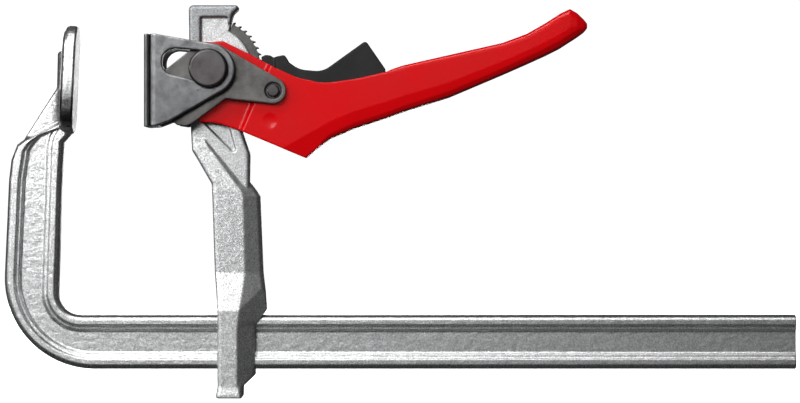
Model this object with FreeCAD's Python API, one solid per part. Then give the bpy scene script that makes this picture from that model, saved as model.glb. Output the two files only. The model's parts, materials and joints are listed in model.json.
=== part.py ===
"""Lever clamp: forged rail with a fixed jaw, sliding arm, ratchet lever and pressure shoe.

Millimetres. X runs along the rail away from the fixed jaw, Z is up, Y = 0 is the mid-plane.
The origin is the centre of the fixed jaw's clamping face.
"""
import FreeCAD, Part
import math
import os

V = FreeCAD.Vector

# Rail, bow and fixed jaw
RAIL_TOP = -97.6
RAIL_BOTTOM = -120.0
RAIL_END = 299.0
RAIL_HALF = 5.25
# Rounding of the rail's long edges as (inset, distance from the mid-plane)
RAIL_ROUNDING = ((1.8, RAIL_HALF), (0.9, 4.6), (0.0, 2.6))
LEG_INNER_TOP = (-5.8, -41.6)
LEG_OUTER_TOP = (-27.8, -41.6)
LEG_INNER_LEAN = 0.0323
LEG_OUTER_LEAN = 0.0442
BOW_INNER_R = 9.6
BOW_OUTER_R = 37.5
# Each groove bevel runs from (inset from the edge, half thickness) to the next pair
GROOVE_BEVELS = (((3.83, 5.68), (4.8, 4.15)), ((5.9, 4.15), (6.8, 2.95)))
JAW_LEAN_DEG = 2.7
JAW_HALF_HEIGHT = 22.4
JAW_HALF_WIDTH = 12.0
# Jaw blade sections as (inset from its oval, depth behind the clamping face)
JAW_SECTIONS = ((0.6, 0.0), (0.0, 0.6), (0.0, 3.4), (0.6, 4.6), (1.8, 5.5), (4.2, 6.0))
RIB_HALF = 2.3
RIB_EDGE_R = 1.4

# Sliding arm
ARM_HEAD_HALF = 6.0
ARM_RECESS_HALF = 4.0
ARM_ROUND_R = 17.6
ARM_EDGE_R = 1.3
MORTISE_SIDE_GAP = 0.25
MORTISE_END_GAP = 0.2
SHOULDER_RIDGE = (68.2, 12.2)
SHOULDER_SLOPE = 0.67
SHOULDER_Z = (-103.0, -80.0)

# Main pivot
PIVOT_X = 55.7
PIVOT_Z = 4.4
PIN_R = 4.5
PIN_HEAD_R = 8.0
PIN_HEAD_BEVEL = 0.75
PIN_HEAD_THICK = 3.2
HEAD_WASHER_R = 7.6
RUNNING_GAP = 0.05

# Ratchet
TOOTH_PITCH_DEG = 7.5
TOOTH_TIP_R = 22.2
TOOTH_ROOT_R = 20.9
FIRST_TIP_DEG = 60.9
TOOTH_COUNT = 12
RATCHET_END_DEG = FIRST_TIP_DEG + 2.6
RATCHET_HALF = 2.5
RATCHET_INNER_R = 9.5
RATCHET_PIN_R = 1.5
RATCHET_PIN_SEAT_R = 13.0

# Lever
WALL = 2.0
HEAD_WALL_IN = 6.2
JOGGLE = 1.7
HANDLE_WALL_IN = HEAD_WALL_IN + JOGGLE
HANDLE_HALF = HANDLE_WALL_IN + WALL
JOGGLE_TOP = (79.6, 6.0)
JOGGLE_BOTTOM = (68.4, -19.9)
LEVER_HUB_R = 11.2
SEAM_HALF = 1.2
# Handle sections as (x, top, bottom, half width, top rounding, bottom rounding, draft height)
HANDLE_STATIONS = (
    (95.5, -0.8, -32.6, HANDLE_HALF, 0.3, 0.3, 9.4),
    (100.0, -1.3, -28.7, HANDLE_HALF, 0.3, 1.2, 8.02),
    (106.0, -1.2, -24.3, HANDLE_HALF, 0.3, 1.9, 6.98),
    (116.0, 0.2, -20.1, HANDLE_HALF, 0.3, 2.2, 7.0),
    (129.0, 3.2, -15.9, HANDLE_HALF, 0.6, 2.2, 6.6),
    (131.0, 4.2, -15.2, HANDLE_HALF, 1.2, 2.2, 6.6),
    (136.0, 5.9, -13.3, 9.9, 1.6, 2.3, 6.4),
    (155.0, 10.2, -7.3, 9.6, 1.7, 2.4, 6.0),
    (177.0, 15.2, 2.0, 9.3, 1.8, 2.6, 5.4),
    (187.0, 18.9, 6.4, 9.2, 2.0, 2.8, 5.4),
    (195.0, 23.5, 10.0, 9.0, 2.2, 3.0, 5.6),
    (201.0, 27.4, 13.0, 8.7, 2.4, 3.2, 5.8),
    (205.0, 29.3, 15.6, 8.2, 2.6, 3.2, 5.8),
    (208.0, 27.7, 17.5, 7.4, 2.6, 3.0, 4.4),
    (210.9, 25.0, 19.6, 5.8, 1.8, 1.8, 2.2),
    (212.3, 23.3, 21.3, 4.2, 0.6, 0.6, 0.8),
)
DRAFT = 0.17
DRAFT_LINE = ((95.5, -23.2), 0.56)
TRIGGER_WELL_END = 130.0
HOLLOW_END = 206.0
DIMPLE_X = 80.9
DIMPLE_Z = -17.2
DIMPLE_R = 3.2
DIMPLE_DEPTH = 0.3

# Cam plates and trigger rivet
RIVET_X = 82.3
RIVET_Z = -4.8
RIVET_R = 2.2
RIVET_HEAD_R = 2.6
RIVET_SEAT_R = 3.4
CAM_IN = HANDLE_HALF
CAM_THICK = 3.0
CAM_HUB_R = 10.7
CAM_END_R = 5.4
CAM_BASE_R = 6.0
CAM_FOLLOWER_GAP = 0.3
RIVET_HEAD_IN = CAM_IN + CAM_THICK - 0.7
RIVET_HEAD_THICK = 1.6
RIVET_HEAD_BEVEL = 0.5

# Pressure shoe
PAD_X = 29.1
PAD_THICK = 2.2
SHOE_WEB_THICK = 3.3
SHOE_FLANK_IN = 13.2
SHOE_FLANK_THICK = 3.0
SHOE_OUT = SHOE_FLANK_IN + SHOE_FLANK_THICK
SHOE_TOP = 18.6
SHOE_BOTTOM = -19.7
SHOE_HUB_R = 10.5
SHOE_BEND_R = 2.4
PAD_RIVET_R = 2.0
PIN_HEAD_IN = SHOE_OUT + 0.2

# Trigger and pawl
TRIGGER_HALF = 6.9
PAWL_HALF = 2.4
PAWL_TIP_DEG = 7.4
PAWL_TIP_R = 22.4
TRIGGER_BOSS_R = 5.0
TRIGGER_BOSS_HALF = 4.6
HOOD_R = 22.0
HOOD_HALF = 5.7
HOOD_END_X = 83.0
PAWL_PIN_R = 1.25
SPRING_WIRE_R = 0.35
SPRING_COIL_R = 3.3
SPRING_PITCH = 0.86
SPRING_LEG = 7.0
SPRING_WALL_GAP = 0.79

PIVOT = V(PIVOT_X, 0, PIVOT_Z)
RIVET = V(RIVET_X, 0, RIVET_Z)
PAWL_PIN = V(86.0, 0, 0.2)
ALONG_Y = V(0, 1, 0)


def outline(points, y=0.0):
    """Closed wire in an XZ plane; each point is (x, z) or (x, z, corner radius)."""
    corners = [V(p[0], y, p[1]) for p in points]
    radii = [p[2] if len(p) > 2 else 0.0 for p in points]
    starts, ends, arcs = [], [], []
    for i, corner in enumerate(corners):
        back = (corners[i - 1] - corner).normalize()
        ahead = (corners[(i + 1) % len(corners)] - corner).normalize()
        half_turn = back.getAngle(ahead) / 2
        if radii[i] == 0:
            starts.append(corner)
            ends.append(corner)
            arcs.append(None)
            continue
        reach = radii[i] / math.tan(half_turn)
        middle = (back + ahead).normalize()
        centre = corner + middle * (radii[i] / math.sin(half_turn))
        starts.append(corner + back * reach)
        ends.append(corner + ahead * reach)
        arcs.append(Part.Arc(starts[i], centre - middle * radii[i], ends[i]).toShape())
    edges = []
    for i in range(len(corners)):
        if arcs[i]:
            edges.append(arcs[i])
        following = starts[(i + 1) % len(corners)]
        if ends[i].distanceToPoint(following) > 1e-6:
            edges.append(Part.LineSegment(ends[i], following).toShape())
    return Part.Wire(edges)


def slab(points, y0, y1):
    """Solid between two Y planes with the given XZ outline."""
    return Part.Face(outline(points, y0)).extrude(V(0, y1 - y0, 0))


def disc(centre, radius, y0, y1):
    """Cylinder along Y about a point of the mid-plane."""
    return Part.makeCylinder(radius, y1 - y0, V(centre.x, y0, centre.z), ALONG_Y)


def polar(radius, degrees):
    """Point at this radius and angle about the main pivot."""
    angle = math.radians(degrees)
    return (PIVOT_X + radius * math.cos(angle), PIVOT_Z + radius * math.sin(angle))


def mirrored(shape):
    """The same solid on the other side of the mid-plane."""
    return shape.mirror(V(0, 0, 0), ALONG_Y)


def both_sides(shape):
    return shape.fuse(mirrored(shape))


def stack(sections):
    """Ruled solid through a row of closed sections."""
    solid = Part.makeLoft(sections, True, True)
    if solid.Volume < 0:
        solid.reverse()
    return solid


# ---------------------------------------------------------------- rail


def leg_inner_x(z):
    return LEG_INNER_TOP[0] + LEG_INNER_LEAN * (z - LEG_INNER_TOP[1])


def leg_outer_x(z):
    return LEG_OUTER_TOP[0] + LEG_OUTER_LEAN * (z - LEG_OUTER_TOP[1])


def bar_outline(inset, y):
    """Rail, bow and leg seen from the side, drawn in by an inset all round."""
    top = RAIL_TOP - inset
    bottom = RAIL_BOTTOM + inset
    return outline([
        (RAIL_END, top),
        (leg_inner_x(top) - inset, top, BOW_INNER_R + inset),
        (leg_inner_x(-41.6) - inset, -41.6),
        (-4.9 - inset, -25.7),
        (-2.2 - inset, -22.6),
        (-3.2 - inset, -16.0 - inset),
        (-20.6, -24.1 - inset),
        (-24.3 + 0.7 * inset, -26.8 - 0.6 * inset),
        (-26.8 + inset, -33.3),
        (leg_outer_x(-41.6) + inset, -41.6),
        (leg_outer_x(bottom) + inset, bottom, BOW_OUTER_R - inset),
        (RAIL_END, bottom),
    ], y)


def groove_outline(inset, y):
    """Side groove of the drawn profile, from under the jaw out through the rail's cut end."""
    top = RAIL_TOP - inset
    bottom = RAIL_BOTTOM + inset
    past_end = RAIL_END + 5
    return outline([
        (past_end, top),
        (leg_inner_x(top) - inset, top, BOW_INNER_R + inset),
        (leg_inner_x(-28.0) - inset, -28.0),
        (-4.4 - inset, -23.5),
        (-2.2 - inset, -19.8 - 0.1 * inset),
        (-16.6 + 0.3 * inset, -21.9 - 0.2 * inset),
        (-23.2 + 0.9 * inset, -26.2),
        (-25.8 + 0.97 * inset, -29.5),
        (leg_outer_x(-41.6) + inset, -41.6),
        (leg_outer_x(bottom) + inset, bottom, BOW_OUTER_R - inset),
        (past_end, bottom),
    ], y)


def jaw_oval(inset, x):
    """Blade outline across the rail at one depth behind the clamping face."""
    wide = JAW_HALF_WIDTH - inset
    tall = JAW_HALF_HEIGHT - inset
    r = wide * 0.86
    wire = outline([(-wide, -tall, r), (wide, -tall, r), (wide, tall, r), (-wide, tall, r)])
    wire.rotate(V(0, 0, 0), V(0, 0, 1), 90)
    wire.translate(V(x, 0, 0))
    return wire


def fixed_jaw():
    blade = stack([jaw_oval(inset, -depth) for inset, depth in JAW_SECTIONS])
    blade.rotate(V(0, 0, 0), ALONG_Y, JAW_LEAN_DEG)
    rib = slab([
        (-22.0, -25.2), (-8.0, -3.2, 2.0), (-7.7, 12.0, 1.6), (-3.2, 12.0), (-3.6, -17.5),
    ], -RIB_HALF, RIB_HALF)
    return blade.fuse(rib.makeFillet(RIB_EDGE_R, rim_edges(rib, RIB_HALF)))


def clamp_rail():
    near = [bar_outline(inset, -y) for inset, y in RAIL_ROUNDING]
    far = [bar_outline(inset, y) for inset, y in reversed(RAIL_ROUNDING)]
    bar = stack(near + far)
    for (inset_out, y_out), (inset_in, y_in) in GROOVE_BEVELS:
        groove = stack([groove_outline(inset_in, y_in), groove_outline(inset_out, y_out)])
        bar = bar.cut(groove).cut(mirrored(groove))
    return bar.fuse(fixed_jaw()).removeSplitter()


# ---------------------------------------------------------------- arm


def ratchet_outline():
    """Tooth tips are undercut on the side that holds the lever closed."""
    points = [polar(RATCHET_INNER_R, RATCHET_END_DEG), polar(TOOTH_ROOT_R + 0.6, RATCHET_END_DEG)]
    for n in range(TOOTH_COUNT):
        tip = FIRST_TIP_DEG - n * TOOTH_PITCH_DEG
        if n > 0:
            points.append(polar(TOOTH_ROOT_R + 0.15, tip + 3.9))
        points.append(polar(TOOTH_TIP_R - 0.25, tip + 1.5))
        points.append(polar(TOOTH_TIP_R, tip + 0.4))
        points.append(polar(TOOTH_TIP_R - 0.1, tip - 0.1))
        points.append(polar(TOOTH_ROOT_R, tip + 0.5))
    last = FIRST_TIP_DEG - TOOTH_COUNT * TOOTH_PITCH_DEG + 4.4
    points.append(polar(TOOTH_ROOT_R, last))
    points.append(polar(RATCHET_INNER_R, last))
    return points


def ratchet_segment():
    sector = slab(ratchet_outline(), -RATCHET_HALF, RATCHET_HALF)
    for pin in ratchet_pin_places():
        sector = sector.cut(disc(pin, RATCHET_PIN_R, -RATCHET_HALF, RATCHET_HALF))
    return sector


def ratchet_pin_places():
    places = [polar(RATCHET_PIN_SEAT_R, angle) for angle in (-12.0, 28.0)]
    return [V(x, 0, z) for x, z in places]


def ratchet_pins():
    pins = [disc(p, RATCHET_PIN_R, -ARM_RECESS_HALF, ARM_RECESS_HALF) for p in ratchet_pin_places()]
    return Part.makeCompound(pins)


def arm_head():
    """Flat head with a raised rim along its top and left side."""
    plate = slab([
        (57.1, -43.6), (48.3, -29.3), (47.8, -19.6), (46.9, 30.9, 2.0), (69.6, 30.9, 1.2),
        (65.4, 27.2, 3.5), (64.2, 22.0), (62.0, 12.0), (64.0, -12.0), (67.2, -10.0), (69.2, -21.8),
        (72.3, -30.8), (72.0, -50.0), (60.0, -50.0),
    ], -ARM_HEAD_HALF, ARM_HEAD_HALF)
    plate = plate.makeFillet(ARM_EDGE_R, rim_edges(plate, ARM_HEAD_HALF))
    plate = plate.fuse(disc(PIVOT, ARM_ROUND_R, -ARM_HEAD_HALF, ARM_HEAD_HALF).cut(
        Part.makeBox(40, 40, 60, V(PIVOT_X - 40, -20, PIVOT_Z - 30))))
    recess = slab([
        (51.9, 26.1, 0.8), (63.3, 26.1, 0.6), (63.3, 23.4), (90.0, 23.4), (90.0, -14.0),
        (62.4, -14.0), (67.3, -32.0, 0.9), (51.9, -16.6, 2.0),
    ], ARM_RECESS_HALF, ARM_HEAD_HALF + 1)
    washer_seat = disc(PIVOT, HEAD_WASHER_R + 0.1, ARM_RECESS_HALF, ARM_HEAD_HALF + 1)
    return plate.cut(both_sides(recess)).cut(both_sides(washer_seat))


def rim_edges(plate, half):
    """Edges around both flat faces of a plate."""
    def on_face(point):
        return abs(abs(point.y) - half) < 1e-6
    edges = []
    for edge in plate.Edges:
        ends = [vertex.Point for vertex in edge.Vertexes]
        if all(on_face(end) for end in ends) and abs(ends[0].y - ends[-1].y) < 1e-6:
            edges.append(edge)
    return edges


def arm_section(z, left, ridge, right, front, side):
    """Horizontal section of the forging: flat front and back, bevelled towards the right."""
    r = ARM_EDGE_R
    run = math.hypot(right - ridge, front - side)
    near_end = min(r, 0.4 * run) / run
    half = [
        (left, front - r), (left + 0.29 * r, front - 0.29 * r), (left + r, front), (ridge, front),
        (right - near_end * (right - ridge), side + near_end * (front - side)),
        (right, side - near_end * run),
    ]
    points = [V(x, -y, z) for x, y in half] + [V(x, y, z) for x, y in reversed(half)]
    return Part.makePolygon(points + points[:1])


def arm_body():
    """Neck, waist and the two cheeks that straddle the rail."""
    body = stack([
        arm_section(-24.2, 48.0, 53.0, 53.6, 6.0, 5.9),
        arm_section(-26.9, 48.3, 54.6, 56.4, 7.0, 5.0),
        arm_section(-29.3, 48.5, 56.4, 59.4, 7.1, 4.4),
        arm_section(-43.3, 56.6, 66.6, 73.0, 7.7, 3.7),
        arm_section(-45.8, 56.7, 68.7, 74.9, 7.8, 4.3),
        arm_section(-48.3, 56.8, 69.6, 76.5, 7.8, 4.6),
        arm_section(-80.0, 57.9, 70.5, 77.8, 7.8, 4.6),
        arm_section(-88.0, 58.6, 69.4, 78.7, 9.9, 5.8),
        arm_section(-95.4, 59.0, 68.2, 79.3, 12.2, 7.2),
        arm_section(-102.0, 59.2, 67.4, 74.8, 12.2, 6.9),
        arm_section(-122.5, 59.1, 67.4, 74.5, 12.2, 6.9),
        arm_section(-127.2, 59.2, 67.4, 69.4, 12.2, 11.4),
        arm_section(-130.4, 58.6, 68.4, 69.2, 12.6, 12.0),
        arm_section(-131.8, 58.6, 68.4, 69.2, 12.6, 12.0),
    ])
    return body.cut(both_sides(shoulder_facet()))


def shoulder_facet():
    """Waste beyond the steeper facet that the bevel meets along a slant, far side."""
    ridge_x, ridge_y = SHOULDER_RIDGE
    points = [
        V(ridge_x + run, ridge_y - SHOULDER_SLOPE * run, SHOULDER_Z[0]) for run in (-10, 20)
    ] + [V(ridge_x + 20, 40, SHOULDER_Z[0]), V(ridge_x - 10, 40, SHOULDER_Z[0])]
    waste = Part.Face(Part.makePolygon(points + points[:1]))
    return waste.extrude(V(0, 0, SHOULDER_Z[1] - SHOULDER_Z[0]))


def slide_arm():
    arm = arm_body().fuse(arm_head())
    mortise = Part.makeBox(
        60, 2 * (RAIL_HALF + MORTISE_SIDE_GAP), RAIL_TOP - RAIL_BOTTOM + 2 * MORTISE_END_GAP,
        V(40, -RAIL_HALF - MORTISE_SIDE_GAP, RAIL_BOTTOM - MORTISE_END_GAP))
    arm = arm.cut(mortise)
    arm = arm.cut(slab(ratchet_outline(), -RATCHET_HALF, RATCHET_HALF))
    arm = arm.cut(disc(PIVOT, PIN_R, -ARM_HEAD_HALF, ARM_HEAD_HALF))
    for pin in ratchet_pin_places():
        arm = arm.cut(disc(pin, RATCHET_PIN_R, -ARM_HEAD_HALF, ARM_HEAD_HALF))
    return arm.removeSplitter()


# ---------------------------------------------------------------- pivot


def round_head(centre, radius, bevel, y_in, thick):
    """Round head with a bevelled outer rim, on the far side of the mid-plane."""
    profile = [
        (0, y_in), (radius, y_in), (radius, y_in + thick - bevel),
        (radius - bevel, y_in + thick), (0, y_in + thick),
    ]
    wire = Part.makePolygon([V(centre.x + r, y, centre.z) for r, y in profile + profile[:1]])
    return Part.Face(wire).revolve(centre, ALONG_Y, 360)


def pin_head():
    return round_head(PIVOT, PIN_HEAD_R, PIN_HEAD_BEVEL, PIN_HEAD_IN, PIN_HEAD_THICK)


def main_pivot_pin():
    return disc(PIVOT, PIN_R, -PIN_HEAD_IN, PIN_HEAD_IN + 1.2).fuse(mirrored(pin_head()))


def main_pin_collar():
    return pin_head().cut(disc(PIVOT, PIN_R, 0, PIN_HEAD_IN + 1.2))


def ring(centre, inner, outer, y0, y1):
    return disc(centre, outer, y0, y1).cut(disc(centre, inner, y0, y1))


def head_washer():
    """Fills the head's recess around the pin, so that the lever wall runs on it."""
    return ring(PIVOT, PIN_R, HEAD_WASHER_R, ARM_RECESS_HALF, HEAD_WALL_IN - 0.1)


def cam_spacer():
    """Carries the cam plate off the joggled wall."""
    return ring(PIVOT, PIN_R + RUNNING_GAP, 8.4, HEAD_WALL_IN + WALL, CAM_IN)


# ---------------------------------------------------------------- lever


def handle_section(x, top, bottom, half, top_round, bottom_round, draft_height):
    """Cross-section of the handle: sides drawn in towards a rounded keel, rounded on top."""
    keel = half - DRAFT * draft_height
    side = [
        (half - top_round, top), (half - 0.29 * top_round, top - 0.29 * top_round),
        (half, top - top_round), (half, bottom + draft_height),
        (keel + DRAFT * bottom_round, bottom + bottom_round),
        (keel - 0.29 * bottom_round, bottom + 0.29 * bottom_round),
        (keel - bottom_round, bottom),
    ]
    points = [V(x, y, z) for y, z in side] + [V(x, -y, z) for y, z in reversed(side)]
    return Part.makePolygon(points + points[:1])


def handle_solid():
    return stack([handle_section(*station) for station in HANDLE_STATIONS])


def handle_hollow():
    """Open at the top beside the trigger and closed behind it."""
    sections = []
    for x, top, bottom, half, _, _, draft_height in HANDLE_STATIONS:
        if x > HOLLOW_END:
            break
        roof = top + 4 if x < TRIGGER_WELL_END else top - WALL
        inside = draft_height - WALL
        sections.append(handle_section(x, roof, bottom + WALL, half - WALL, 0.3, 0.5, inside))
    x, top, bottom, half, _, _, draft_height = HANDLE_STATIONS[0]
    mouth = handle_section(x - 6, top + 4, bottom - 3, half - WALL, 0.3, 0.5, draft_height)
    return stack([mouth] + sections)


def joggled_wall():
    """Side wall of the lever's head, stepped outwards along a slanting line."""
    dx = JOGGLE_TOP[0] - JOGGLE_BOTTOM[0]
    dz = JOGGLE_TOP[1] - JOGGLE_BOTTOM[1]
    run = math.hypot(dx, dz)
    across = V(dz / run, 0, -dx / run)
    along = V(dx / run, 0, dz / run)
    start = V(JOGGLE_BOTTOM[0], 0, JOGGLE_BOTTOM[1]) - along * 60
    inner = [(-60, HEAD_WALL_IN), (0, HEAD_WALL_IN), (JOGGLE, HANDLE_WALL_IN), (60, HANDLE_WALL_IN)]
    outer = [(u, y + WALL) for u, y in reversed(inner)]
    points = [start + across * u + V(0, y, 0) for u, y in inner + outer]
    band = Part.Face(Part.makePolygon(points + points[:1])).extrude(along * 150)
    side = slab([
        (57.4, 15.6), (61.2, 16.0, 2.0), (72.6, 10.4), (83.1, 4.8), (92.0, 0.8, 8.0),
        (102.0, -1.4), (102.0, -27.0), (97.0, -31.2), (95.5, -32.6), (83.1, -27.3),
        (68.0, -21.0, 20.0),
        (58.8, -17.9, 20.0), (51.6, -17.6, 1.0), (46.0, -2.0),
    ], 0, 20)
    side = side.fuse(disc(PIVOT, LEVER_HUB_R, 0, 20))
    return band.common(side).cut(draft_waste())


def draft_waste():
    """Metal beyond the drawn-in lower part of the cheek, far side."""
    (x0, z0), rise = DRAFT_LINE
    depth = 20.0
    sections = []
    for x in (x0 - 25, x0 + 10):
        z = z0 + rise * (x - x0)
        inner = HANDLE_HALF - DRAFT * depth
        points = [V(x, HANDLE_HALF, z), V(x, inner, z - depth), V(x, 30, z - depth), V(x, 30, z)]
        sections.append(Part.makePolygon(points + points[:1]))
    return stack(sections)


def lever_shell():
    """Pressed-steel lever: two joggled cheeks that run into a folded hollow handle."""
    seam = slab([(104, -60), (104, -10), (200, 22), (200, -60)], -SEAM_HALF, SEAM_HALF)
    underside = slab([
        (104.0, -24.0), (116.0, -18.6), (136.0, -11.8), (177.0, 3.9), (197.0, 12.6),
        (197.0, -40.0), (104.0, -40.0),
    ], -SEAM_HALF, SEAM_HALF)
    handle = handle_solid().cut(handle_hollow()).cut(seam.common(underside))
    wall = joggled_wall()
    shell = handle.fuse(wall).fuse(mirrored(wall))
    shell = shell.cut(disc(PIVOT, PIN_R + RUNNING_GAP, -20, 20))
    shell = shell.cut(disc(RIVET, RIVET_R, -20, 20)).cut(both_sides(dimple()))
    return shell.removeSplitter()


def dimple():
    """Shallow round dent pressed into each cheek, drawn on the far side."""
    ball_r = (DIMPLE_R ** 2 + DIMPLE_DEPTH ** 2) / (2 * DIMPLE_DEPTH)
    centre = V(DIMPLE_X, HANDLE_HALF - DIMPLE_DEPTH + ball_r, DIMPLE_Z)
    return Part.makeSphere(ball_r, centre)


def cam_profile():
    """Involute face: the shoe moves by the base radius for each radian of lever swing."""
    rest_reach = PIVOT_X - (PAD_X + PAD_THICK + SHOE_WEB_THICK) - CAM_FOLLOWER_GAP
    points = []
    for degrees in range(-10, 25, 2):
        swing = math.radians(degrees)
        x = -(rest_reach + CAM_BASE_R * swing)
        z = -CAM_BASE_R
        points.append(V(
            PIVOT_X + x * math.cos(swing) - z * math.sin(swing), CAM_IN,
            PIVOT_Z + x * math.sin(swing) + z * math.cos(swing)))
    return points


def cam_plate():
    """Plate on the main pin, riveted to the lever, whose lobe drives the shoe."""
    face = cam_profile()
    curve = Part.BSplineCurve()
    curve.interpolate(face)
    rim = [
        V(PIVOT_X + x, CAM_IN, PIVOT_Z + z)
        for x, z in ((-17.3, -18.6), (-15.6, -21.4), (-13.0, -23.4), (-9.6, -23.9), (-6.8, -22.8),
                     (7.0, -12.5), (26.1, -14.6), (29.3, -4.5), (5.34, 9.27), (-6.6, 8.4))
    ]
    edges = [curve.toShape()]
    corners = [face[-1]] + rim + [face[0]]
    for start, end in zip(corners, corners[1:]):
        edges.append(Part.LineSegment(start, end).toShape())
    plate = Part.Face(Part.Wire(edges)).extrude(V(0, CAM_THICK, 0))
    plate = plate.fuse(disc(PIVOT, CAM_HUB_R, CAM_IN, CAM_IN + CAM_THICK))
    plate = plate.fuse(disc(RIVET, CAM_END_R, CAM_IN, CAM_IN + CAM_THICK))
    plate = plate.cut(disc(PIVOT, PIN_R + RUNNING_GAP, 0, 20)).cut(disc(RIVET, RIVET_R, 0, 20))
    seat = disc(RIVET, RIVET_SEAT_R, CAM_IN + CAM_THICK - 0.7, 20)
    return plate.cut(seat).removeSplitter()


def rivet_head():
    """Low head in the cam plate's counterbore, drawn on the far side."""
    return round_head(RIVET, RIVET_HEAD_R, RIVET_HEAD_BEVEL, RIVET_HEAD_IN, RIVET_HEAD_THICK)


def trigger_rivet():
    shank = disc(RIVET, RIVET_R, -RIVET_HEAD_IN, RIVET_HEAD_IN + RIVET_HEAD_THICK / 2)
    return shank.fuse(mirrored(rivet_head()))


def trigger_rivet_collar():
    return rivet_head().cut(disc(RIVET, RIVET_R, 0, RIVET_HEAD_IN + RIVET_HEAD_THICK / 2))


# ---------------------------------------------------------------- trigger


def trigger():
    """Moulded finger piece that carries the pawl and turns on the rivet."""
    body = slab([
        polar(HOOD_R, -8.0), polar(HOOD_R, 0.0), polar(HOOD_R, 7.0), (77.0, 9.4, 0.4),
        (78.8, 10.3, 1.0), (80.8, 10.1, 1.0), (82.2, 9.2, 0.4), (83.4, 9.6, 0.5),
        (86.9, 10.3, 1.2), (88.6, 7.2, 2.0), (93.0, 4.2, 10.0),
        (102.6, 3.4, 9.0), (120.4, 16.2, 1.4), (128.7, 4.2, 1.0), (127.0, -2.6, 3.0),
        (106.0, -6.4, 4.0), (92.0, -8.6, 4.0), (84.0, -9.6), (80.0, -7.4),
    ], -TRIGGER_HALF, TRIGGER_HALF)
    body = body.fuse(disc(RIVET, TRIGGER_BOSS_R, -TRIGGER_BOSS_HALF, TRIGGER_BOSS_HALF))
    side_pocket = disc(RIVET, TRIGGER_BOSS_R + 0.6, TRIGGER_BOSS_HALF, TRIGGER_HALF)
    body = body.cut(both_sides(side_pocket))
    beside_hood = Part.makeBox(20, 5, 40, V(HOOD_END_X - 20, HOOD_HALF, -10))
    body = body.cut(both_sides(beside_hood))
    body = body.cut(disc(PIVOT, TOOTH_TIP_R + 1.5, -RATCHET_HALF - 0.6, RATCHET_HALF + 0.6))
    body = body.cut(pawl_blank()).cut(disc(RIVET, RIVET_R + RUNNING_GAP, -20, 20))
    return body.cut(disc(PAWL_PIN, PAWL_PIN_R, -20, 20)).removeSplitter()


def pawl_blank():
    """Hardened pawl: a hooked nose above the ratchet and an eye on the rivet."""
    tip_x, tip_z = polar(PAWL_TIP_R, PAWL_TIP_DEG)
    back_x, back_z = polar(PAWL_TIP_R + 1.2, PAWL_TIP_DEG + 0.6)
    lower_x, lower_z = polar(TOOTH_TIP_R + 0.9, PAWL_TIP_DEG - 6.0)
    inner_x, inner_z = polar(TOOTH_TIP_R + 0.9, PAWL_TIP_DEG - 18.0)
    nose = slab([
        (tip_x, tip_z), (back_x, back_z), (79.2, 9.4, 0.5), (81.4, 9.4, 0.9), (83.0, 8.0),
        (88.0, 3.0, 1.0), (88.0, -3.0), (84.0, -9.0), (80.6, -8.4), (inner_x, inner_z),
        (lower_x, lower_z),
    ], -PAWL_HALF, PAWL_HALF)
    return nose.fuse(disc(RIVET, 4.4, -PAWL_HALF, PAWL_HALF))


def pawl():
    blank = pawl_blank().cut(disc(RIVET, RIVET_R + RUNNING_GAP, -20, 20))
    return blank.cut(disc(PAWL_PIN, PAWL_PIN_R, -20, 20)).removeSplitter()


def pawl_pin():
    return disc(PAWL_PIN, PAWL_PIN_R, -TRIGGER_HALF + 0.4, TRIGGER_HALF - 0.4)


def trigger_spring():
    """Torsion spring round the rivet on the near side, with one leg along the lever wall."""
    helix = Part.makeHelix(SPRING_PITCH, 2 * SPRING_PITCH, SPRING_COIL_R)
    helix.rotate(V(0, 0, 0), V(1, 0, 0), -90)
    helix.translate(V(RIVET_X, SPRING_WALL_GAP - HANDLE_WALL_IN, RIVET_Z))
    coil_start = helix.Edges[0]
    begin = coil_start.valueAt(coil_start.FirstParameter)
    heading = coil_start.tangentAt(coil_start.FirstParameter)
    leg_end = begin - heading * SPRING_LEG
    path = Part.Wire([Part.LineSegment(leg_end, begin).toShape()] + helix.Edges)
    section = Part.Wire(Part.makeCircle(SPRING_WIRE_R, leg_end, heading))
    return path.makePipeShell([section], True, True)


def trigger_spacer():
    """Keeps the trigger central on the rivet, on the far side."""
    return ring(RIVET, RIVET_R, 3.8, TRIGGER_BOSS_HALF + 0.1, HANDLE_WALL_IN)


# ---------------------------------------------------------------- shoe


def shoe_slot(y0, y1):
    """Tapered slot that lets the shoe slide and rock on the main pin."""
    left = V(PIVOT_X - 13.6, 0, PIVOT_Z + 2.6)
    right = V(PIVOT_X + 1.0, 0, PIVOT_Z + 0.1)
    left_r = 5.5
    right_r = 6.7
    line = right - left
    heading = math.atan2(line.z, line.x)
    spread = math.acos((left_r - right_r) / line.Length)
    points = []
    corners = ((left, left_r, 1), (right, right_r, 1), (right, right_r, -1), (left, left_r, -1))
    for centre, radius, side in corners:
        angle = heading + side * spread
        points.append((centre.x + radius * math.cos(angle), centre.z + radius * math.sin(angle)))
    return slab(points, y0, y1).fuse(disc(left, left_r, y0, y1)).fuse(disc(right, right_r, y0, y1))


def channel(x0, half, radius):
    """Solid as wide as the shoe, rounded down its two front corners."""
    block = Part.makeBox(60, 2 * half, 60, V(x0, -half, -30))
    front = [e for e in block.Edges if abs(e.Vertexes[0].X - x0) < 1e-6
             and abs(e.Vertexes[1].X - x0) < 1e-6 and abs(e.Vertexes[0].Z - e.Vertexes[1].Z) > 1]
    return block.makeFillet(radius, front)


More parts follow.
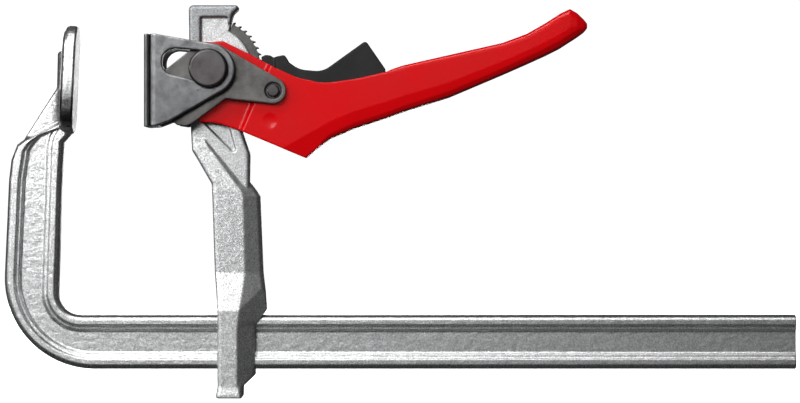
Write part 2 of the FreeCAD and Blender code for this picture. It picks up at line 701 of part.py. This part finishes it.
def pressure_shoe():
    """Folded U bracket: a web behind the pad and two slotted flanks on the main pin."""
    web_x = PAD_X + PAD_THICK
    hub = V(PIVOT_X + 0.4, 0, PIVOT_Z - 0.4)
    side = slab([
        (web_x, SHOE_TOP), (34.0, SHOE_TOP), (57.9, 14.3), (61.4, -5.1), (40.2, -17.2, 3.0),
        (34.3, SHOE_BOTTOM + 0.3, 2.0), (web_x, SHOE_BOTTOM),
    ], -SHOE_OUT, SHOE_OUT).fuse(disc(hub, SHOE_HUB_R, -SHOE_OUT, SHOE_OUT))
    folded = channel(web_x, SHOE_OUT, SHOE_BEND_R).cut(
        channel(web_x + SHOE_WEB_THICK, SHOE_FLANK_IN, 0.6))
    bracket = folded.common(side).cut(shoe_slot(-SHOE_OUT, SHOE_OUT))
    for place in pad_rivet_places():
        bracket = bracket.cut(Part.makeCylinder(PAD_RIVET_R, 10, place, V(1, 0, 0)))
    return bracket.removeSplitter()


def pad_rivet_places():
    middle = (SHOE_TOP + SHOE_BOTTOM) / 2
    return [V(PAD_X, 0, middle + offset) for offset in (-11.0, 11.0)]


def pressure_pad():
    """Flat face plate; its rivets are flush with the clamping face."""
    half = SHOE_OUT - 0.6
    plate = Part.makeBox(PAD_THICK, 2 * half, SHOE_TOP - SHOE_BOTTOM, V(PAD_X, -half, SHOE_BOTTOM))
    upright = [e for e in plate.Edges if abs(e.Vertexes[0].Z - e.Vertexes[1].Z) > 1]
    plate = plate.makeFillet(1.0, upright)
    for place in pad_rivet_places():
        plate = plate.cut(Part.makeCylinder(PAD_RIVET_R, 10, place, V(1, 0, 0)))
    return plate


def pad_rivets():
    reach = PAD_THICK + SHOE_WEB_THICK
    rivets = [Part.makeCylinder(PAD_RIVET_R, reach, place, V(1, 0, 0)) for place in pad_rivet_places()]
    return Part.makeCompound(rivets)


NODES = {
    "clamp_rail": clamp_rail,
    "slide_arm": slide_arm,
    "ratchet_segment": ratchet_segment,
    "ratchet_pins": ratchet_pins,
    "main_pivot_pin": main_pivot_pin,
    "main_pin_collar": main_pin_collar,
    "head_washer_near": lambda: mirrored(head_washer()),
    "head_washer_far": head_washer,
    "lever_shell": lever_shell,
    "cam_plate_near": lambda: mirrored(cam_plate()),
    "cam_plate_far": cam_plate,
    "cam_spacer_near": lambda: mirrored(cam_spacer()),
    "cam_spacer_far": cam_spacer,
    "trigger_rivet": trigger_rivet,
    "trigger_rivet_collar": trigger_rivet_collar,
    "trigger": trigger,
    "pawl": pawl,
    "pawl_pin": pawl_pin,
    "trigger_spring": trigger_spring,
    "trigger_spacer": trigger_spacer,
    "pressure_shoe": pressure_shoe,
    "pressure_pad": pressure_pad,
    "pad_rivets": pad_rivets,
}


def main():
    os.makedirs("parts", exist_ok=True)
    for node, build in NODES.items():
        shape = build()
        shape.exportStep(f"parts/{node}.step")
        box = shape.BoundBox
        print(f"{node:22s} solids {len(shape.Solids)} valid {shape.isValid()} {shape.Volume:9.1f} mm3"
              f"  X {box.XMin:7.2f} {box.XMax:7.2f}  Y {box.YMin:6.2f} {box.YMax:6.2f}"
              f"  Z {box.ZMin:7.2f} {box.ZMax:7.2f}")


main()
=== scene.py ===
"""Studio scene of the lever clamp: forged steel, a red hand lever and a white sweep."""
import bpy
import json
import math
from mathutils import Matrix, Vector


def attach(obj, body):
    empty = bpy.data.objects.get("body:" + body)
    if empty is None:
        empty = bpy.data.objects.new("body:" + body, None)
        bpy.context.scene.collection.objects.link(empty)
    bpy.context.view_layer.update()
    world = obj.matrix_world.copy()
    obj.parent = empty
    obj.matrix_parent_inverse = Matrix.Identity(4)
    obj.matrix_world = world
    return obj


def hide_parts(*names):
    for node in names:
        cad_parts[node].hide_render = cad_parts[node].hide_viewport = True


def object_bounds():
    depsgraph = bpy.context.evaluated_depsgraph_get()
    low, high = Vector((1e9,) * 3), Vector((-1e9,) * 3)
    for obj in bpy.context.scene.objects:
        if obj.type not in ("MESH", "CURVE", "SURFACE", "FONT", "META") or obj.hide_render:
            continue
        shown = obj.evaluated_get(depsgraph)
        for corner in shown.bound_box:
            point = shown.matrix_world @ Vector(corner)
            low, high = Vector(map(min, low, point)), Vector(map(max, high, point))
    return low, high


MM = 0.001
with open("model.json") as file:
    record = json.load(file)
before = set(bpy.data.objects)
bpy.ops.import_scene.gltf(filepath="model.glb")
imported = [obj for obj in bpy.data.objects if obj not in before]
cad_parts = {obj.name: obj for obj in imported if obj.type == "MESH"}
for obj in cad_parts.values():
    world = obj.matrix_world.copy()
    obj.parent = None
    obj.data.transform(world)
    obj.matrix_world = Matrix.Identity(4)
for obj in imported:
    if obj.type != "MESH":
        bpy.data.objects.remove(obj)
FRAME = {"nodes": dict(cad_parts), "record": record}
CAD_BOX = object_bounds()
NODES = FRAME["nodes"]
BODY_OF = {
    node: body
    for body, members in FRAME["record"]["behaviour"]["bodies"].items()
    for node in members
}


# ---------------------------------------------------------------- camera and studio

# Metres. The view's width is taken at the clamp's mid-plane.
VIEW_CENTRE = Vector((0.1346, 0.0, -0.0505))
VIEW_WIDTH = 0.3328
VIEW_DISTANCE = 1.456
SENSOR_WIDTH = 36.0

# Name, place, width, height and watts. Every lamp aims at the view's centre.
LAMPS = (
    ("key_left", (-1.3, -0.75, 0.50), 0.6, 0.8, 11),
    ("top", (-0.05, -0.70, 1.10), 0.9, 0.4, 10),
    ("front", (-0.38, -1.18, 0.42), 0.7, 0.4, 13),
    ("back", (-0.15, 1.25, 0.12), 0.7, 0.4, 6),
)
# Light for paint and plastic only, kept out of the metal's reflections.
FILLS = (
    ("front_fill", (0.45, -1.40, 0.30), 1.2, 0.8, 9.5),
    ("back_fill", (0.20, 1.30, 0.60), 1.2, 0.6, 14),
)
WORLD_COLOUR = (0.95, 0.97, 1.0, 1)
WORLD_STRENGTH = 0.045

FLOOR_DROP = 0.2 * MM
FLOOR_CORE_R = 0.3
FLOOR_R = 4.0
WALL_CURVE = 0.8
WALL_TOP = 3.0
SWEEP_SIDES = 96
CURVE_STEPS = 16


def add_camera():
    data = bpy.data.cameras.new("camera")
    data.sensor_width = SENSOR_WIDTH
    data.lens = SENSOR_WIDTH * VIEW_DISTANCE / VIEW_WIDTH
    camera = bpy.data.objects.new("camera", data)
    camera.location = VIEW_CENTRE - Vector((0, VIEW_DISTANCE, 0))
    camera.rotation_euler = (math.pi / 2, 0, 0)
    bpy.context.scene.collection.objects.link(camera)
    bpy.context.scene.camera = camera


def add_area(name, place, width, height, watts):
    data = bpy.data.lights.new(name, "AREA")
    data.shape = "RECTANGLE"
    data.size = width
    data.size_y = height
    data.energy = watts
    lamp = bpy.data.objects.new(name, data)
    lamp.location = Vector(place)
    aim = VIEW_CENTRE - Vector(place)
    lamp.rotation_euler = aim.to_track_quat("-Z", "Y").to_euler()
    lamp.visible_camera = False
    bpy.context.scene.collection.objects.link(lamp)
    return lamp


def add_studio():
    """Soft light from the left, above and the front, a weak one behind, and two fills."""
    for lamp in LAMPS:
        add_area(*lamp)
    for fill in FILLS:
        add_area(*fill).visible_glossy = False
    world = bpy.data.worlds.new("studio")
    bpy.context.scene.world = world
    world.use_nodes = True
    background = world.node_tree.nodes["Background"]
    background.inputs["Color"].default_value = WORLD_COLOUR
    background.inputs["Strength"].default_value = WORLD_STRENGTH
    bpy.context.scene.view_settings.view_transform = "Standard"


def sweep_profile():
    """Radius and rise of each ring, from the middle of the floor to the top of the wall."""
    profile = [(FLOOR_CORE_R, 0.0)]
    for step in range(CURVE_STEPS + 1):
        angle = math.radians(90 * step / CURVE_STEPS)
        run = FLOOR_R + WALL_CURVE * math.sin(angle)
        profile.append((run, WALL_CURVE - WALL_CURVE * math.cos(angle)))
    profile.append((FLOOR_R + WALL_CURVE, WALL_TOP))
    return profile


def sweep_mesh():
    floor_z = CAD_BOX[0][2] - FLOOR_DROP
    profile = sweep_profile()
    verts = []
    for run, rise in profile:
        for side in range(SWEEP_SIDES):
            turn = math.tau * side / SWEEP_SIDES
            verts.append((run * math.cos(turn), run * math.sin(turn), floor_z + rise))
    faces = [tuple(range(SWEEP_SIDES))]
    for ring in range(len(profile) - 1):
        for side in range(SWEEP_SIDES):
            low = ring * SWEEP_SIDES + side
            after = ring * SWEEP_SIDES + (side + 1) % SWEEP_SIDES
            faces.append((low, low + SWEEP_SIDES, after + SWEEP_SIDES, after))
    mesh = bpy.data.meshes.new("sweep")
    mesh.from_pydata(verts, [], faces)
    mesh.polygons.foreach_set("use_smooth", [True] * len(faces))
    return mesh


def add_sweep():
    """Pale round floor that curves up into a wall all round, kept out of reflections."""
    mesh = sweep_mesh()
    mesh.materials.append(paper_material())
    sweep = bpy.data.objects.new("sweep", mesh)
    bpy.context.scene.collection.objects.link(sweep)
    sweep.visible_glossy = False
    sweep.visible_diffuse = False


# ---------------------------------------------------------------- shader helper

# Places of the colour sockets on a Mix node set to RGBA.
MIX_A = 6
MIX_B = 7
MIX_RESULT = 2


class Shader:
    """Small helper that builds one node material."""

    def __init__(self, name):
        self.material = bpy.data.materials.new(name)
        self.material.use_nodes = True
        self.nodes = self.material.node_tree.nodes
        self.links = self.material.node_tree.links
        self.surface = self.nodes["Principled BSDF"]
        self.place = self.add("ShaderNodeTexCoord").outputs["Object"]

    def add(self, kind, **settings):
        node = self.nodes.new(kind)
        for key, value in settings.items():
            setattr(node, key, value)
        return node

    def feed(self, socket, value):
        if isinstance(value, bpy.types.NodeSocket):
            self.links.new(value, socket)
        elif isinstance(value, tuple):
            socket.default_value = (*value, 1)
        else:
            socket.default_value = value

    def noise(self, scale, detail, rough):
        node = self.add("ShaderNodeTexNoise")
        node.inputs["Scale"].default_value = scale
        node.inputs["Detail"].default_value = detail
        node.inputs["Roughness"].default_value = rough
        self.links.new(self.place, node.inputs["Vector"])
        return node.outputs["Fac"]

    def ramp(self, source, stops):
        """Colours or greys, each at its place from 0 to 1 of the source."""
        node = self.add("ShaderNodeValToRGB")
        elements = node.color_ramp.elements
        while len(elements) < len(stops):
            elements.new(0.5)
        for element, (position, value) in zip(elements, stops):
            element.position = position
            colour = value if isinstance(value, tuple) else (value, value, value)
            element.color = (*colour, 1)
        self.links.new(source, node.inputs["Fac"])
        return node.outputs["Color"]

    def mix(self, factor, first, second, blend="MIX"):
        node = self.add("ShaderNodeMix", data_type="RGBA", blend_type=blend)
        self.feed(node.inputs["Factor"], factor)
        self.feed(node.inputs[MIX_A], first)
        self.feed(node.inputs[MIX_B], second)
        return node.outputs[MIX_RESULT]

    def math(self, operation, *values):
        node = self.add("ShaderNodeMath", operation=operation)
        for socket, value in zip(node.inputs, values):
            self.feed(socket, value)
        return node.outputs[0]

    def rise(self, source, low, high):
        """0 up to low, 1 from high on."""
        node = self.add("ShaderNodeMapRange")
        node.inputs["From Min"].default_value = low
        node.inputs["From Max"].default_value = high
        self.links.new(source, node.inputs["Value"])
        return node.outputs["Result"]

    def inside(self, *parts):
        """1 where all the parts are 1."""
        result = parts[0]
        for part in parts[1:]:
            result = self.math("MULTIPLY", result, part)
        return result

    def outside(self, part):
        return self.math("SUBTRACT", 1.0, part)

    def position(self):
        """X, the distance from the mid-plane, and Z of the shaded point."""
        axes = self.add("ShaderNodeSeparateXYZ")
        self.links.new(self.place, axes.inputs["Vector"])
        depth = self.math("ABSOLUTE", axes.outputs["Y"])
        return axes.outputs["X"], depth, axes.outputs["Z"]

    def edges(self, low, high):
        """0 to 1 over this range of pointiness, which is high on convex edges."""
        geometry = self.add("ShaderNodeNewGeometry")
        return self.ramp(geometry.outputs["Pointiness"], [(low, 0.0), (high, 1.0)])

    def bump(self, height, strength, distance, below=None):
        node = self.add("ShaderNodeBump")
        node.inputs["Strength"].default_value = strength
        node.inputs["Distance"].default_value = distance
        self.links.new(height, node.inputs["Height"])
        if below:
            self.links.new(below, node.inputs["Normal"])
        return node.outputs["Normal"]

    def finish(self, **sockets):
        for name, value in sockets.items():
            self.feed(self.surface.inputs[name.replace("_", " ")], value)
        return self.material


# ---------------------------------------------------------------- materials

# Noise scales are per metre.
PAPER_SCALE = 3.0
GRAIN_SCALE = 1500.0
FORGED_MOTTLE_SCALE = 330.0
PLATE_MOTTLE_SCALE = 180.0
PEEL_SCALE = 520.0
COAT_SCALE = 60.0
MOULDED_GRAIN_SCALE = 900.0
MOULDED_TONE_SCALE = 90.0

# Place in the grain's range, and the zinc's colour there.
ZINC_GRAIN = (
    (0.34, (0.38, 0.385, 0.39)),
    (0.50, (0.64, 0.645, 0.65)),
    (0.66, (0.94, 0.945, 0.95)),
)
MOTTLE_SHADE = ((0.3, 0.84), (0.7, 1.0))

# How much brighter the worn edges of a plate are than its lighter tone.
WORN_GAIN = 1.7
WORN_LIFT = 0.04

# Dark tone, light tone, and the lowest and highest roughness.
PLATE_FINISHES = {
    "ratchet_steel": ((0.065, 0.067, 0.064), (0.115, 0.115, 0.11), 0.40, 0.52),
    "cam_steel": ((0.080, 0.078, 0.075), (0.145, 0.141, 0.135), 0.40, 0.55),
    "shoe_steel": ((0.09, 0.092, 0.095), (0.27, 0.274, 0.278), 0.27, 0.40),
    "pad_steel": ((0.09, 0.091, 0.092), (0.15, 0.151, 0.153), 0.42, 0.55),
    "pin_steel": ((0.062, 0.057, 0.060), (0.105, 0.098, 0.101), 0.42, 0.52),
    "plain_steel": ((0.25, 0.25, 0.25), (0.42, 0.42, 0.42), 0.30, 0.42),
}


def paper_material():
    s = Shader("sweep_paper")
    sheet = s.noise(PAPER_SCALE, 2.0, 0.55)
    tone = s.ramp(sheet, [(0.3, (0.88, 0.88, 0.88)), (0.7, (0.91, 0.91, 0.91))])
    return s.finish(
        Base_Color=tone, Roughness=0.9, Specular_IOR_Level=0.1,
        Emission_Color=(1.0, 1.0, 1.0), Emission_Strength=0.97)


def head_rim_mask(s):
    """1 on the raised rim round the arm's head, which the material makes darker."""
    _, depth, height = s.position()
    proud = s.rise(depth, 4.9 * MM, 5.5 * MM)
    on_head = s.rise(height, -9.0 * MM, -4.0 * MM)
    return s.inside(proud, on_head)


def jaw_shade_mask(s):
    """1 where the root of the fixed jaw and the rib behind it are painted dark: painted shade.
    """
    across, depth, height = s.position()
    near_blade = s.rise(across, -10.5 * MM, -7.5 * MM)
    above_bow = s.rise(height, -22.0 * MM, -17.0 * MM)
    upper_blade = s.rise(height, -9.0 * MM, 1.0 * MM)
    blade_side = s.inside(upper_blade, s.rise(depth, 3.0 * MM, 4.0 * MM))
    clamping_face = s.rise(across, -1.0 * MM, 0.0)
    return s.inside(
        near_blade, above_bow, s.outside(clamping_face), s.outside(blade_side))


def forged_material(name, rough_low, rough_high, gain, edge_wear_and_shade_tone, mask, mask_tone):
    """Zinc-plated forging: bright metal with a fine sparkling grain."""
    s = Shader(name)
    grain = s.noise(GRAIN_SCALE, 3.0, 0.75)
    mottle = s.noise(FORGED_MOTTLE_SCALE, 4.0, 0.6)
    zinc = [(place, tuple(gain * c for c in colour)) for place, colour in ZINC_GRAIN]
    colour = s.mix(1.0, s.ramp(grain, zinc), s.ramp(mottle, MOTTLE_SHADE), "MULTIPLY")
    # Convex edges take this tone: lighter wear on the arm, a painted dark reflection on the
    # rail.
    colour = s.mix(s.edges(0.51, 0.57), colour, edge_wear_and_shade_tone)
    # Where the mask is 1 the colour is darkened: painted shade on the rail's jaw, a darker
    # tone on the arm's head rim.
    colour = s.mix(mask(s), colour, s.mix(1.0, colour, mask_tone, "MULTIPLY"))
    rough = s.ramp(grain, [(0.3, rough_high), (0.7, rough_low)])
    normal = s.bump(grain, 0.35, 0.2 * MM, s.bump(mottle, 0.3, 0.6 * MM))
    return s.finish(Base_Color=colour, Metallic=1.0, Roughness=rough, Normal=normal)


def drawn_zinc():
    """The rail: smoother, with its edges painted dark as a painted dark reflection, and
    painted shade at the jaw's root and rib.
    """
    return forged_material(
        "drawn_zinc", 0.31, 0.42, 1.06, (0.16, 0.16, 0.165),
        jaw_shade_mask, (0.10, 0.10, 0.10))


def forged_zinc():
    """The arm: rougher, with lighter edges."""
    return forged_material(
        "forged_zinc", 0.44, 0.58, 0.87, (0.60, 0.61, 0.62),
        head_rim_mask, (0.52, 0.53, 0.54))


def plate_material(name, dark, light, rough_low, rough_high):
    """Stamped steel plate with faint mottling and brighter worn edges."""
    s = Shader(name)
    mottle = s.noise(PLATE_MOTTLE_SCALE, 5.0, 0.62)
    fine = s.noise(GRAIN_SCALE, 2.0, 0.6)
    worn = tuple(min(1.0, WORN_GAIN * c + WORN_LIFT) for c in light)
    colour = s.ramp(mottle, [(0.3, dark), (0.7, light)])
    colour = s.mix(s.edges(0.52, 0.6), colour, worn)
    rough = s.ramp(mottle, [(0.3, rough_high), (0.7, rough_low)])
    normal = s.bump(fine, 0.18, 0.12 * MM, s.bump(mottle, 0.12, 0.3 * MM))
    return s.finish(Base_Color=colour, Metallic=1.0, Roughness=rough, Normal=normal)


def red_powder_coat():
    """Gloss powder coat: saturated red with faint orange peel."""
    s = Shader("red_powder_coat")
    peel = s.noise(PEEL_SCALE, 2.0, 0.5)
    broad = s.noise(COAT_SCALE, 3.0, 0.5)
    colour = s.ramp(broad, [(0.3, (0.41, 0.0008, 0.0022)), (0.7, (0.45, 0.0012, 0.0028))])
    rough = s.ramp(broad, [(0.3, 0.24), (0.7, 0.18)])
    normal = s.bump(peel, 0.08, 0.12 * MM)
    return s.finish(
        Base_Color=colour, Roughness=rough, Normal=normal, Specular_IOR_Level=0.2)


def black_nylon():
    """Glass-filled nylon: satin black with fine moulded grain."""
    s = Shader("black_nylon")
    grain = s.noise(MOULDED_GRAIN_SCALE, 3.0, 0.6)
    broad = s.noise(MOULDED_TONE_SCALE, 3.0, 0.5)
    colour = s.ramp(
        broad, [(0.3, (0.004, 0.0045, 0.0045)), (0.7, (0.009, 0.0094, 0.0094))])
    rough = s.ramp(grain, [(0.3, 0.50), (0.7, 0.36)])
    normal = s.bump(grain, 0.25, 0.15 * MM)
    return s.finish(
        Base_Color=colour, Roughness=rough, Normal=normal, Specular_IOR_Level=0.22)


def all_materials():
    """Every material by the name that the list of pieces uses."""
    made = {
        "drawn_zinc": drawn_zinc(),
        "forged_zinc": forged_zinc(),
        "red_powder_coat": red_powder_coat(),
        "black_nylon": black_nylon(),
    }
    for name, finish in PLATE_FINISHES.items():
        made[name] = plate_material(name, *finish)
    return made


# ---------------------------------------------------------------- pieces

SMOOTH_FACTOR = 0.5
SHARP_ANGLE = math.radians(60)

# Node, voxel in mm, rounds of smoothing, and material. A coarser voxel and more rounds
# give rounder edges.
WORN_PIECES = (
    ("clamp_rail", 0.24, 2, "drawn_zinc"),
    ("slide_arm", 0.34, 5, "forged_zinc"),
    ("lever_shell", 0.34, 4, "red_powder_coat"),
    ("trigger", 0.30, 5, "black_nylon"),
    ("cam_plate_near", 0.25, 3, "cam_steel"),
    ("cam_plate_far", 0.25, 3, "cam_steel"),
    ("pressure_shoe", 0.28, 4, "shoe_steel"),
    ("pressure_pad", 0.28, 3, "pad_steel"),
    ("main_pivot_pin", 0.25, 3, "pin_steel"),
    ("main_pin_collar", 0.25, 3, "pin_steel"),
    ("trigger_rivet", 0.15, 3, "pin_steel"),
    ("trigger_rivet_collar", 0.15, 3, "pin_steel"),
    ("ratchet_segment", 0.12, 3, "ratchet_steel"),
    ("pawl", 0.15, 3, "ratchet_steel"),
)
# Small pieces, mostly hidden, which keep their CAD shape.
PLAIN_PIECES = (
    "ratchet_pins", "head_washer_near", "head_washer_far", "cam_spacer_near",
    "cam_spacer_far", "trigger_spacer", "trigger_spring", "pawl_pin", "pad_rivets",
)


def worn_copy(node, voxel, rounds):
    """The node's own shape with all its edges worn round, as a forging or a thick coat has."""
    piece = bpy.data.objects.new(node + "_piece", NODES[node].data.copy())
    bpy.context.scene.collection.objects.link(piece)
    remesh = piece.modifiers.new("skin", "REMESH")
    remesh.mode = "VOXEL"
    remesh.voxel_size = voxel
    smooth = piece.modifiers.new("round", "SMOOTH")
    smooth.factor = SMOOTH_FACTOR
    smooth.iterations = rounds
    bake_modifiers(piece)
    shade(piece.data)
    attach(piece, BODY_OF[node])
    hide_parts(node)
    return piece


def bake_modifiers(piece):
    """The modifiers' result becomes the piece's own mesh."""
    graph = bpy.context.evaluated_depsgraph_get()
    result = bpy.data.meshes.new_from_object(piece.evaluated_get(graph))
    old = piece.data
    piece.modifiers.clear()
    piece.data = result
    bpy.data.meshes.remove(old)


def shade(mesh):
    mesh.polygons.foreach_set("use_smooth", [True] * len(mesh.polygons))
    mesh.set_sharp_from_angle(angle=SHARP_ANGLE)


def paint(piece, material):
    piece.data.materials.clear()
    piece.data.materials.append(material)


def add_pieces():
    materials = all_materials()
    for node, voxel, rounds, material in WORN_PIECES:
        paint(worn_copy(node, voxel * MM, rounds), materials[material])
    for node in PLAIN_PIECES:
        paint(NODES[node], materials["plain_steel"])


def main():
    add_camera()
    add_studio()
    add_sweep()
    add_pieces()


main()
